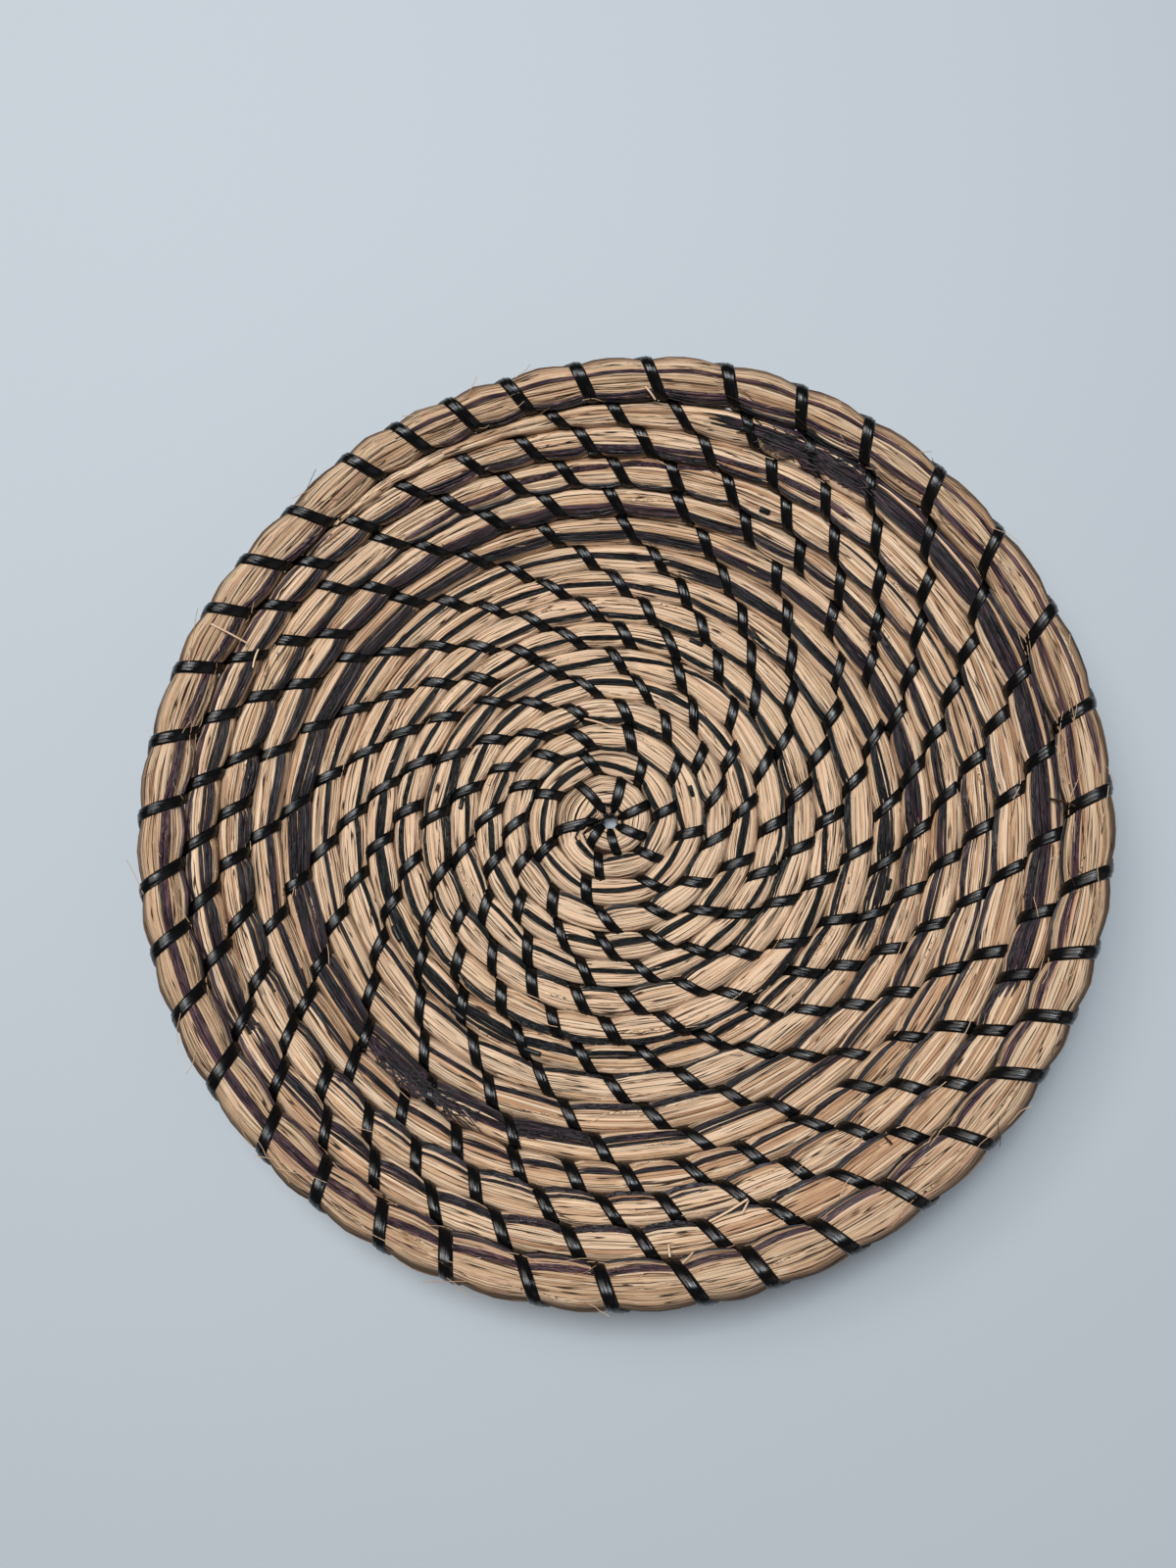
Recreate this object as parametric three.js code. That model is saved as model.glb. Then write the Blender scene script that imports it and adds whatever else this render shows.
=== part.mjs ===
// A shallow coiled bowl: a straw bundle laid in a spiral for base and wall, a thicker rim coil,
// dark stalks set into the bundle's inner shoulder, and flat strips wound round every round.
// Millimetres, +Z up, with the origin on the table under the middle of the bowl.
import * as THREE from 'three';

const degrees = Math.PI / 180;
const turn = 2 * Math.PI;

// Profile of the bowl, followed along the middle of its wall
const flatRadius = 92;            // flat base, from the axis out to the bend
const bendLength = 25;            // stretch over which the base bends up into the wall
const wallSlope = 31 * degrees;   // slope of the wall beyond the bend
const ovalness = 0.0125;          // share by which the bowl is wider along X and narrower along Y

// Foundation coil
const startAngle = 210 * degrees; // direction in which the spiral's blunt inner end lies
const coilSteps = 354;            // facets of the whole coil, from its inner to its outer end
const stepsPerRound = 24;
const baseRounds = 9;             // rounds that lie in the base
const bentRounds = 12;            // rounds up to the end of the bend; the rest are straight wall
const holeRadius = 3.3;           // hole left at the heart of the coil
const startEdge = 11;             // outer edge of the coil at its inner end
const firstPitch = 9.1;           // spacing of the rounds at the heart
const pitchGrowth = 0.14;         // how much wider each round is spaced than the one before
const coilThickness = 9;
const shoulder = 1.3;             // how far the coil's top and foot are inset from its sides
const shoulderShare = 0.25;       // most of a coil's width that each of these insets takes
const heartShare = 0.55;          // share of the first round that is a wad filled in to the hole
const taperRounds = 0.15;         // length of the tapered outer end, in rounds
const tipWidth = 2;

// Rim coil
const rimWidth = 14;
const rimThickness = 12;
const rimShoulder = 2.4;

// Binding strip
const stripThickness = 0.6;
const stripRun = 3.9;             // strip's width, measured along the coil that it crosses
const stripClearance = 0.45;      // room between a strip and the straw or strip beside it
const frontAdvance = 5.6;         // how far a stitch slants along the coil on the inside
const stepAhead = 5.8;            // how far ahead of the round before's crossing a stitch rises
const backShare = 0.7;            // share of its width that a strip keeps underneath, drawn tight
const heartStitches = 7;          // stitches in the first round
const heartDelay = 0.25;          // share of their spacing by which they start late
const stitchesGained = 0.2;       // stitches that a round gains for each millimetre of radius
const stitchesAtAxis = 5;         // that rule's count at the axis
const gatherShare = 0.42;         // most of the stitch spacing that a strip takes up at the hole
const slantShare = 0.35;          // most of the stitch spacing that a slant takes up
const stepShare = 0.55;           // most of the stitch spacing that a step ahead takes up
const splitShare = 1.36;          // a gap wider than this many spacings takes a stitch more
const splitSteps = 3.5;           // if it is also wider than this many steps ahead
const tailShare = 0.5;            // share of its last back run after which a strip is cut off

// Dark stalks: where each starts, in rounds of the coil, and its length in facets
const stalkSpan = 4;              // width of the notch that holds a stalk
const stalkSeat = 0.35;           // how far a stalk lies below the top of the coil
const stalkClearance = 0.5;
const stalkRuns = [
  [4, 10], [5.5, 8], [6.75, 8], [8, 9], [9.25, 6], [10.125, 6], [10.75, 11], [11.375, 6],
  [12.5, 7], [14.25, 7],
];
const rimStalkRun = [14.875, 6];

const valley = stripThickness + 2 * stripClearance;
const coilRounds = coilSteps / stepsPerRound;
const footLift = coilThickness / 2 + stripClearance + stripThickness;

// Distance from the axis, height and slope of the wall's middle, a distance along it
function profile(along) {
  const bendRadius = bendLength / wallSlope;
  const slope = wallSlope * THREE.MathUtils.clamp((along - flatRadius) / bendLength, 0, 1);
  const beyond = Math.max(along - flatRadius - bendLength, 0);
  const flat = Math.min(along, flatRadius);
  return {
    radius: flat + bendRadius * Math.sin(slope) + beyond * Math.cos(slope),
    height: footLift + bendRadius * (1 - Math.cos(slope)) + beyond * Math.sin(slope),
    slope,
  };
}

// A point in the bowl: a distance along the profile, a lift square to the wall, a direction
function place(along, lift, rounds) {
  const { radius, height, slope } = profile(along);
  const angle = startAngle + turn * rounds;
  const out = radius - lift * Math.sin(slope);
  return new THREE.Vector3(
    out * Math.cos(angle) * (1 + ovalness),
    out * Math.sin(angle) * (1 - ovalness),
    height + lift * Math.cos(slope),
  );
}

// Edges of the foundation coil, as distances along the profile
function spiralEdge(rounds) {
  return startEdge + firstPitch * rounds + pitchGrowth * rounds * rounds / 2;
}

function coilInner(rounds) {
  if (rounds >= 1) return spiralEdge(rounds - 1) + valley;
  const opened = THREE.MathUtils.smoothstep(rounds, heartShare, 1);
  return THREE.MathUtils.lerp(holeRadius, startEdge + valley, opened);
}

function coilOuter(rounds) {
  const tapered = THREE.MathUtils.smoothstep(rounds, coilRounds - taperRounds, coilRounds);
  return THREE.MathUtils.lerp(spiralEdge(rounds), coilInner(rounds) + tipWidth, tapered);
}

// The rim's rounds run on from the foundation coil's, for one round
function rimInner(rounds) {
  const below = rounds > coilRounds ? rounds - 1 : coilRounds;
  return coilOuter(below) + valley;
}

const foundation = {
  inner: coilInner,
  outer: coilOuter,
  thickness: coilThickness,
  shoulder,
  stalks: stalkRuns,
};

const rim = {
  inner: rimInner,
  outer: (rounds) => rimInner(rounds) + rimWidth,
  thickness: rimThickness,
  shoulder: rimShoulder,
  stalks: [rimStalkRun],
};

// A point beside a coil: side -1 is its inner side and +1 its outer side, and the distances
// are measured outward from that side and upward from the coil's middle
function besideCoil(coil, rounds, side, beyond, lift) {
  const edge = side < 0 ? coil.inner(rounds) : coil.outer(rounds);
  return place(edge + side * beyond, lift, rounds);
}

// The same point measured from the coil's flat facets instead of from its true curve
function besideFacet(coil, rounds, side, beyond, lift) {
  const step = Math.floor(rounds * stepsPerRound);
  const share = rounds * stepsPerRound - step;
  const before = besideCoil(coil, step / stepsPerRound, side, beyond, lift);
  if (share < 1e-9) return before;
  return before.lerp(besideCoil(coil, (step + 1) / stepsPerRound, side, beyond, lift), share);
}

// Joins rings of points into a closed solid; each ring runs anticlockwise seen from ahead
function joinRings(rings, closed) {
  const count = rings[0].length;
  const positions = rings.flat().flatMap((point) => point.toArray());
  const faces = [];
  const spans = closed ? rings.length : rings.length - 1;
  for (let ring = 0; ring < spans; ring += 1) {
    const here = ring * count;
    const ahead = ((ring + 1) % rings.length) * count;
    for (let corner = 0; corner < count; corner += 1) {
      const next = (corner + 1) % count;
      faces.push(here + corner, here + next, ahead + next);
      faces.push(here + corner, ahead + next, ahead + corner);
    }
  }
  if (!closed) {
    const last = (rings.length - 1) * count;
    for (let corner = 1; corner < count - 1; corner += 1) {
      faces.push(0, corner + 1, corner);
      faces.push(last, last + corner, last + corner + 1);
    }
  }
  const geometry = new THREE.BufferGeometry();
  geometry.setAttribute('position', new THREE.Float32BufferAttribute(positions, 3));
  geometry.setIndex(faces);
  geometry.computeVertexNormals();
  return geometry;
}

function holdsStalk(coil, step) {
  return coil.stalks.some(([start, length]) => {
    const first = Math.round(start * stepsPerRound);
    return step >= first && step <= first + length;
  });
}

// Six-sided section of a coil at one of its steps, notched where it holds a dark stalk
function coilSection(coil, step) {
  const rounds = step / stepsPerRound;
  const half = coil.thickness / 2;
  const width = coil.outer(rounds) - coil.inner(rounds);
  const inset = Math.min(coil.shoulder, shoulderShare * width);
  const innerInset = holdsStalk(coil, step) ? stalkSpan : inset;
  return [
    besideCoil(coil, rounds, -1, -innerInset, half),
    besideCoil(coil, rounds, 1, -inset, half),
    besideCoil(coil, rounds, 1, 0, 0),
    besideCoil(coil, rounds, 1, -inset, -half),
    besideCoil(coil, rounds, -1, -inset, -half),
    besideCoil(coil, rounds, -1, 0, 0),
  ];
}

function coilRings(coil, firstStep, steps) {
  return Array.from({ length: steps }, (_, step) => coilSection(coil, firstStep + step));
}

// Three-sided stalk in its notch, flush with the top of the coil
function darkStalk(coil, [start, length]) {
  const firstStep = Math.round(start * stepsPerRound);
  const top = coil.thickness / 2 - stalkSeat;
  const steepness = coil.thickness / 2 / stalkSpan;
  const rise = stalkClearance * Math.hypot(1, steepness);
  const reach = (top - rise) / steepness;
  const rings = Array.from({ length: length + 1 }, (_, step) => {
    const rounds = (firstStep + step) / stepsPerRound;
    return [
      besideCoil(coil, rounds, -1, 0, top),
      besideCoil(coil, rounds, -1, -reach, top),
      besideCoil(coil, rounds, -1, 0, rise),
    ];
  });
  return joinRings(rings, false);
}

// Stitches, each with the rounds at which it crosses the coil's inner and outer side.
// A stitch rises just ahead of the place where the round before was stitched, and where
// such stitches lie too far apart, one more is set between them.
function layStitches() {
  const spacing = (radius) => turn * radius / (stitchesAtAxis + stitchesGained * radius);
  const stitches = [];
  const add = (inner, radius) => {
    const advance = Math.min(frontAdvance, slantShare * spacing(radius));
    stitches.push({ inner, outer: inner + advance / (turn * radius) });
  };
  for (let count = 0; count < heartStitches; count += 1) {
    const inner = (count + heartDelay) / heartStitches;
    add(inner, profile(spiralEdge(inner)).radius);
  }
  for (let follow = 0; ; follow += 1) {
    const crossed = stitches[follow].outer + 1;
    const radius = profile(spiralEdge(crossed - 1)).radius;
    const next = crossed + Math.min(stepAhead, stepShare * spacing(radius)) / (turn * radius);
    if (next > coilRounds + 1 - 1 / stepsPerRound) return stitches;
    const last = stitches[stitches.length - 1].inner;
    const open = (next - last) * turn * radius;
    const roomForOneMore = open > splitSteps * stepAhead && open > splitShare * spacing(radius);
    if (roomForOneMore) add((last + crossed) / 2, radius);
    add(next, radius);
  }
}

// Room that a back run needs at one side of a slanted wall, to cross an edge between facets
function foldRoom(coil, rounds, side, advance) {
  const { radius, slope } = profile(side < 0 ? coil.inner(rounds) : coil.outer(rounds));
  const fold = Math.sin(slope) * turn / stepsPerRound;
  const depth = (advance * turn * radius / 2) * Math.tan(fold / 2);
  return Math.max(depth - stripClearance / 2, 0);
}

// A strip wound along one coil: across the inside on a slant, down the outer side, back
// underneath to the next stitch, and up between the rounds. Its tail ends underneath.
function windStrip(coil, stitches) {
  // Four corners of the strip where it lies across one side of the coil
  const crossSection = (rounds, side, inward, level, room) => {
    const { radius } = profile(side < 0 ? coil.inner(rounds) : coil.outer(rounds));
    const run = Math.min(stripRun, gatherShare * turn * radius / heartStitches);
    const half = run * (level < 0 ? backShare : 1) / 2 / (turn * radius);
    const corner = (shift, off) => {
      const lift = level * (coil.thickness / 2 + off + room);
      return besideFacet(coil, rounds + shift, side, inward > 0 ? -inward : off, lift);
    };
    const near = stripClearance;
    const far = stripClearance + stripThickness;
    return [corner(-half, near), corner(half, near), corner(half, far), corner(-half, far)];
  };
  const rings = [];
  stitches.forEach(({ inner, outer }, index) => {
    const isLast = index === stitches.length - 1;
    const spacing = isLast ? inner - stitches[index - 1].inner : stitches[index + 1].inner - inner;
    const next = inner + spacing;
    const outerRoom = foldRoom(coil, outer, 1, next - outer);
    rings.push(crossSection(inner, -1, 0, 1, 0));
    rings.push(crossSection(outer, 1, 0, 1, 0));
    rings.push(crossSection(outer, 1, 0, -1, outerRoom));
    if (isLast) {
      const width = coil.outer(outer) - coil.inner(outer);
      const end = THREE.MathUtils.lerp(outer, next, tailShare);
      rings.push(crossSection(end, 1, tailShare * width, -1, outerRoom));
    } else {
      const innerRoom = foldRoom(coil, next, -1, next - outer);
      rings.push(crossSection(next, -1, 0, -1, innerRoom));
    }
  });
  return joinRings(rings, false);
}

const straw = { color: 0xcdb088, roughness: 0.85, metalness: 0 };
const rimStraw = { color: 0xc4a67d, roughness: 0.85, metalness: 0 };
const darkStraw = { color: 0x2f2530, roughness: 0.6, metalness: 0 };
const blackStrip = { color: 0x17181a, roughness: 0.35, metalness: 0 };

function piece(name, geometry, finish) {
  const mesh = new THREE.Mesh(geometry, new THREE.MeshStandardMaterial(finish));
  mesh.name = name;
  return mesh;
}

const numbered = (name, number) => `${name}_${String(number).padStart(2, '0')}`;

const bowl = new THREE.Group();
const foundationRings = coilRings(foundation, 0, coilSteps + 1);
const lengths = { base_coil: baseRounds, lower_wall_coil: bentRounds, upper_wall_coil: coilRounds };
let begun = 0;
for (const [name, rounds] of Object.entries(lengths)) {
  const ended = rounds * stepsPerRound;
  bowl.add(piece(name, joinRings(foundationRings.slice(begun, ended + 1), false), straw));
  begun = ended;
}
bowl.add(piece('rim_coil', joinRings(coilRings(rim, coilSteps, stepsPerRound), true), rimStraw));

stalkRuns.forEach((run, index) => {
  bowl.add(piece(numbered('dark_stalk', index + 1), darkStalk(foundation, run), darkStraw));
});
bowl.add(piece('rim_dark_stalk', darkStalk(rim, rimStalkRun), darkStraw));

const stitches = layStitches();
const coilStitches = stitches.filter(({ outer }) => outer < coilRounds - 1 / stepsPerRound);
const rimStitches = stitches.filter(({ inner }) => inner > coilRounds);
for (let round = 0; round < coilRounds; round += 1) {
  const inRound = coilStitches.filter(({ inner }) => Math.floor(inner) === round);
  bowl.add(piece(numbered('binding_strip', round + 1), windStrip(foundation, inRound), blackStrip));
}
bowl.add(piece('rim_binding_strip', windStrip(rim, rimStitches), blackStrip));

// Least distance between corners of the coil that lie at least half a round apart
function leastGap(rings) {
  let least = Infinity;
  for (let here = 0; here < rings.length; here += 1) {
    for (let there = here + stepsPerRound / 2; there < rings.length; there += 1) {
      for (const point of rings[here]) {
        for (const other of rings[there]) least = Math.min(least, point.distanceTo(other));
      }
    }
  }
  return least;
}
console.log(`least gap between rounds of the coil: ${leastGap(foundationRings).toFixed(2)} mm`);

// Stand the bowl on its lowest faces, centred over the origin
const size = new THREE.Box3().setFromObject(bowl);
const middle = size.getCenter(new THREE.Vector3());
bowl.position.set(-middle.x, -middle.y, -size.min.z);

export default bowl;
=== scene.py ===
import math
import random

import bmesh
import bpy
from mathutils import Matrix, Vector


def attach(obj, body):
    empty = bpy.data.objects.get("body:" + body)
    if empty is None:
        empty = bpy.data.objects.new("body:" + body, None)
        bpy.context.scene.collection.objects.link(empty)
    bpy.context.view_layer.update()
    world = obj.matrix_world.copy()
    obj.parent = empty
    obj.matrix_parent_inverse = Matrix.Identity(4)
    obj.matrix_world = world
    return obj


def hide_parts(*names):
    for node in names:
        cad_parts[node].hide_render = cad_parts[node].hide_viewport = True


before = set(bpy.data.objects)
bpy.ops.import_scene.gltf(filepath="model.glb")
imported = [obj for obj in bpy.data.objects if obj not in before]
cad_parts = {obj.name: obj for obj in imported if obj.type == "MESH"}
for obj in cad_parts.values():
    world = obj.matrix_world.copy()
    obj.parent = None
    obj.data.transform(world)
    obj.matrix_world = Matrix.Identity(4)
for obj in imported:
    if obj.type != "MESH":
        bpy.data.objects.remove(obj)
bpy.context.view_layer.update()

# Metres, unless a note says millimetres. These are the bowl's own sizes, as the solids have them
bowl = {
    "flatRadius": 0.092,
    "bendLength": 0.025,
    "wallSlope": math.radians(31),
    "ovalness": 0.0125,
    "startAngle": math.radians(210),
    "axis": (-0.002676, -0.000694),
    "coilRounds": 14.75,
    "holeRadius": 0.0033,
    "startEdge": 0.011,
    "firstPitch": 0.0091,
    "pitchGrowth": 0.00014,
    "heartShare": 0.93,
    "taperRounds": 0.15,
    "tipWidth": 0.002,
    "valley": 0.0015,
    "footLift": 0.00555,
    "rimWidth": 0.014,
    "tipRounds": 0.042,
}


def addObject(name, data):
    item = bpy.data.objects.new(name, data)
    bpy.context.scene.collection.objects.link(item)
    return item


# Camera first: it looks straight into the bowl, a little from its right and its near side
view = {
    "focalPixels": 1202,
    "frameHeight": 1600,
    "distance": 0.3932,
    "leanRight": math.radians(3.07),
    "leanNear": math.radians(8.9),
    "slideRight": -0.00875,
    "slideUp": 0.0076,
    "aimHeight": 0.040,
}


def makeCamera():
    data = bpy.data.cameras.new("camera")
    data.sensor_fit = "VERTICAL"
    data.sensor_height = 36
    data.lens = data.sensor_height * view["focalPixels"] / view["frameHeight"]
    data.clip_start = 0.01
    data.clip_end = 20
    camera = addObject("camera", data)
    right, near = math.sin(view["leanRight"]), math.sin(view["leanNear"])
    back = Vector((right, -near, math.sqrt(1 - right ** 2 - near ** 2)))
    side = Vector((0, 1, 0)).cross(back).normalized()
    up = back.cross(side)
    aim = Vector((0, 0, view["aimHeight"]))
    camera.location = aim + back * view["distance"] + side * view["slideRight"] + up * view["slideUp"]
    camera.rotation_euler = Matrix((side, up, back)).transposed().to_euler()
    bpy.context.scene.camera = camera
    bpy.context.scene.view_settings.view_transform = "Standard"


makeCamera()
print("camera set")


# Links a signal or a socket to an input, or sets a plain value on it
def join(tree, value, socket):
    if isinstance(value, Signal):
        value = value.socket
    if isinstance(value, bpy.types.NodeSocket):
        tree.links.new(value, socket)
    else:
        socket.default_value = value


# A socket of a node tree that can stand in a formula
class Signal:
    def __init__(self, tree, socket):
        self.tree, self.socket = tree, socket

    def calc(self, operation, *others):
        node = self.tree.nodes.new("ShaderNodeMath")
        node.operation = operation
        for number, value in enumerate((self,) + others):
            join(self.tree, value, node.inputs[number])
        return Signal(self.tree, node.outputs[0])

    def __add__(self, other):
        return self.calc("ADD", other)

    def __sub__(self, other):
        return self.calc("SUBTRACT", other)

    def __mul__(self, other):
        return self.calc("MULTIPLY", other)

    def __truediv__(self, other):
        return self.calc("DIVIDE", other)

    def __neg__(self):
        return self.calc("MULTIPLY", -1)

    def __rsub__(self, other):
        return -self + other

    __radd__ = __add__
    __rmul__ = __mul__


# These take plain numbers or signals, so one formula serves the script and the node trees
def sine(x):
    return x.calc("SINE") if isinstance(x, Signal) else math.sin(x)


def cosine(x):
    return x.calc("COSINE") if isinstance(x, Signal) else math.cos(x)


def lesser(x, limit):
    return x.calc("MINIMUM", limit) if isinstance(x, Signal) else min(x, limit)


def greater(x, limit):
    return x.calc("MAXIMUM", limit) if isinstance(x, Signal) else max(x, limit)


def powerOf(x, exponent):
    return x.calc("POWER", exponent) if isinstance(x, Signal) else x ** exponent


def isOver(x, limit):
    return x.calc("GREATER_THAN", limit) if isinstance(x, Signal) else float(x > limit)


def blendOf(first, second, share):
    return first + (second - first) * share


def ease(x, start, end):
    share = lesser(greater((x - start) / (end - start), 0), 1)
    return share * share * (3 - 2 * share)


# Distance from the axis, height and slope of the wall's middle, a distance along it
def profile(along):
    bendRadius = bowl["bendLength"] / bowl["wallSlope"]
    bent = lesser(greater((along - bowl["flatRadius"]) / bowl["bendLength"], 0), 1)
    slope = bent * bowl["wallSlope"]
    beyond = greater(along - bowl["flatRadius"] - bowl["bendLength"], 0)
    flat = lesser(along, bowl["flatRadius"])
    radius = flat + bendRadius * sine(slope) + beyond * cosine(slope)
    height = bowl["footLift"] + bendRadius * (1 - cosine(slope)) + beyond * sine(slope)
    return radius, height, slope


def place(along, lift, rounds):
    radius, height, slope = profile(along)
    angle = rounds * math.tau + bowl["startAngle"]
    out = radius - lift * sine(slope)
    x = out * cosine(angle) * (1 + bowl["ovalness"]) + bowl["axis"][0]
    y = out * sine(angle) * (1 - bowl["ovalness"]) + bowl["axis"][1]
    return x, y, height + lift * cosine(slope)


# Edges of the coil, as distances along the profile; the real rounds are drawn tight together
def spiralEdge(rounds):
    return rounds * bowl["firstPitch"] + rounds * rounds * (bowl["pitchGrowth"] / 2) + bowl["startEdge"]


def coilInner(rounds):
    opened = ease(rounds, bowl["heartShare"], 1)
    early = blendOf(bowl["holeRadius"], bowl["startEdge"] + bowl["valley"] / 2, opened)
    late = spiralEdge(rounds - 1) + bowl["valley"] / 2
    return blendOf(early, late, isOver(rounds, 1))


def coilOuter(rounds):
    end = bowl["coilRounds"]
    tapered = ease(rounds, end - bowl["taperRounds"], end)
    full = spiralEdge(rounds) + bowl["valley"] / 2
    tipWidth = (bowl["tipWidth"] + bowl["valley"]) * (1 - ease(rounds, end, end + bowl["tipRounds"]))
    return blendOf(full, coilInner(rounds) + tipWidth, tapered)


# The rim lies on the coil's tip as far as that goes and on the round before from there
def rimInner(rounds):
    wrapped = rounds - isOver(rounds, bowl["coilRounds"] + 1)
    return coilOuter(wrapped - isOver(wrapped, bowl["coilRounds"] + bowl["tipRounds"]))


def rimOuter(rounds):
    return rimInner(rounds) + bowl["rimWidth"] + bowl["valley"] / 2


# Stitches, each with the rounds at which it crosses the coil's inner and outer side
stitching = {
    "frontAdvance": 0.0056,
    "stepAhead": 0.0058,
    "heartStitches": 7,
    "heartDelay": 0.25,
    "stitchesGained": 200,
    "stitchesAtAxis": 5,
    "slantShare": 0.35,
    "stepShare": 0.55,
    "splitShare": 1.36,
    "splitSteps": 3.5,
    "facetsPerRound": 24,
    "hook": 0.0012,
}


def layStitches():
    rule = stitching
    stitches = []

    def spacing(radius):
        return math.tau * radius / (rule["stitchesAtAxis"] + rule["stitchesGained"] * radius)

    def add(inner, radius):
        advance = min(rule["frontAdvance"], rule["slantShare"] * spacing(radius))
        stitches.append((inner, inner + advance / (math.tau * radius)))

    for count in range(rule["heartStitches"]):
        inner = (count + rule["heartDelay"]) / rule["heartStitches"]
        add(inner, profile(spiralEdge(inner))[0])
    follow = 0
    while True:
        crossed = stitches[follow][1] + 1
        radius = profile(spiralEdge(crossed - 1))[0]
        ahead = crossed + min(rule["stepAhead"], rule["stepShare"] * spacing(radius)) / (math.tau * radius)
        if ahead > bowl["coilRounds"] + 1 - 1 / rule["facetsPerRound"]:
            return stitches
        last = stitches[-1][0]
        gap = (ahead - last) * math.tau * radius
        if gap > rule["splitSteps"] * rule["stepAhead"] and gap > rule["splitShare"] * spacing(radius):
            add((last + crossed) / 2, radius)
        add(ahead, radius)
        follow += 1


# The drawn stitches are spaced a little more evenly, cross the first rounds almost straight, and
# reach a little further along the coil where they dip into the valleys
drawn = {
    "evening": 0.5,
    "passes": 2,
    "heartSlant": 0.4,
    "straightUntil": 1.0,
    "slantedFrom": 4.0,
    "variety": 0.22,
    "seed": 12,
}


def turnOf(length, rounds):
    return length / (math.tau * profile(max(spiralEdge(rounds - 0.5), bowl["startEdge"]))[0])


def drawStitches(stitches):
    random.seed(drawn["seed"])
    inners = [stitch[0] for stitch in stitches]
    for count in range(drawn["passes"]):
        middles = [(before + after) / 2 for before, after in zip(inners, inners[2:])]
        evened = [blendOf(own, middle, drawn["evening"]) for own, middle in zip(inners[1:-1], middles)]
        inners[1:-1] = evened
    result = []
    for inner, stitch in zip(inners, stitches):
        slant = blendOf(drawn["heartSlant"], 1, ease(inner, drawn["straightUntil"], drawn["slantedFrom"]))
        slant *= 1 + random.uniform(-drawn["variety"], drawn["variety"])
        outer = inner + (stitch[1] - stitch[0]) * slant
        hook = turnOf(stitching["hook"], inner) * slant
        result.append((inner - hook, outer + hook))
    return result


allStitches = layStitches()
coilEnd = bowl["coilRounds"] - 1 / stitching["facetsPerRound"]
coilStitches = drawStitches([stitch for stitch in allStitches if stitch[1] < coilEnd])
rimStitches = drawStitches([stitch for stitch in allStitches if stitch[0] > bowl["coilRounds"]])
print(f"{len(coilStitches)} stitches on the coil and {len(rimStitches)} on the rim")

# The rim's stitches close their ring, with what is missing between the last and the first
rimGap = rimStitches[0][0] + 1 - rimStitches[-1][0]
missing = round(rimGap / (rimStitches[-1][0] - rimStitches[-2][0])) - 1
print(f"rim gap {rimGap:.3f} rounds, {missing} more stitches")
ahead = rimGap / (missing + 1)
for count in range(missing):
    rimStitches.append((rimStitches[-1][0] + ahead, rimStitches[-1][1] + ahead))
rimRound = rimStitches + [(inner + 1, outer + 1) for inner, outer in rimStitches[:2]]


# Node trees. An input called "Pinch Reach" takes the value that the dictionaries hold as pinchReach
def keyOf(label):
    return label[0].lower() + label[1:].replace(" ", "")


def newTree(name, sizes, output="Geometry", kind="NodeSocketGeometry"):
    tree = bpy.data.node_groups.new(name, "GeometryNodeTree")
    if output == "Geometry":
        tree.interface.new_socket(output, in_out="INPUT", socket_type=kind)
    kinds = {int: "NodeSocketInt", float: "NodeSocketFloat", type(None): "NodeSocketMaterial"}
    for label, value in sizes.items():
        socket = tree.interface.new_socket(label, in_out="INPUT", socket_type=kinds[type(value)])
        if value is not None:
            socket.default_value = value
    tree.interface.new_socket(output, in_out="OUTPUT", socket_type=kind)
    entry = tree.nodes.new("NodeGroupInput")
    given = {keyOf(socket.name): Signal(tree, socket) for socket in entry.outputs if socket.name}
    return tree, given, tree.nodes.new("NodeGroupOutput")


def addNode(tree, kind, inputs=None, **settings):
    node = tree.nodes.new(kind)
    for name, value in settings.items():
        setattr(node, name, value)
    for key, value in (inputs or {}).items():
        join(tree, value, node.inputs[key])
    return node


def combine(tree, x, y, z):
    return Signal(tree, addNode(tree, "ShaderNodeCombineXYZ", {0: x, 1: y, 2: z}).outputs[0])


def readField(tree, name):
    node = addNode(tree, "GeometryNodeInputNamedAttribute", {"Name": name}, data_type="FLOAT")
    return Signal(tree, node.outputs["Attribute"])


def readFields(tree, *names):
    return [readField(tree, name) for name in names]


def chance(tree, x, y, z):
    at = combine(tree, x, y, z)
    return Signal(tree, addNode(tree, "ShaderNodeTexWhiteNoise", {"Vector": at}).outputs["Value"])


def drift(tree, x, y, z):
    at = combine(tree, x, y, z)
    node = addNode(tree, "ShaderNodeTexNoise", {"Vector": at, "Scale": 1.0, "Detail": 1.0})
    return Signal(tree, node.outputs[0]) - 0.5


def keepField(tree, geometry, signal, vector=False):
    node = tree.nodes.new("GeometryNodeCaptureAttribute")
    node.capture_items.new("VECTOR" if vector else "FLOAT", "kept")
    join(tree, geometry, node.inputs["Geometry"])
    join(tree, signal, node.inputs[1])
    return node.outputs["Geometry"], Signal(tree, node.outputs[1])


def storeField(tree, geometry, name, signal, vector=False):
    kind = "FLOAT_VECTOR" if vector else "FLOAT"
    node = addNode(tree, "GeometryNodeStoreNamedAttribute", {"Geometry": geometry, "Name": name},
                   data_type=kind, domain="POINT")
    join(tree, signal, node.inputs["Value"])
    return node.outputs["Geometry"]


def guideCurve(tree, given):
    return addNode(tree, "GeometryNodeMeshToCurve", {"Mesh": given["geometry"]}).outputs[0]


def sweep(tree, lines, ring):
    sockets = {"Curve": lines, "Profile Curve": ring, "Fill Caps": True}
    return addNode(tree, "GeometryNodeCurveToMesh", sockets).outputs[0]


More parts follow.
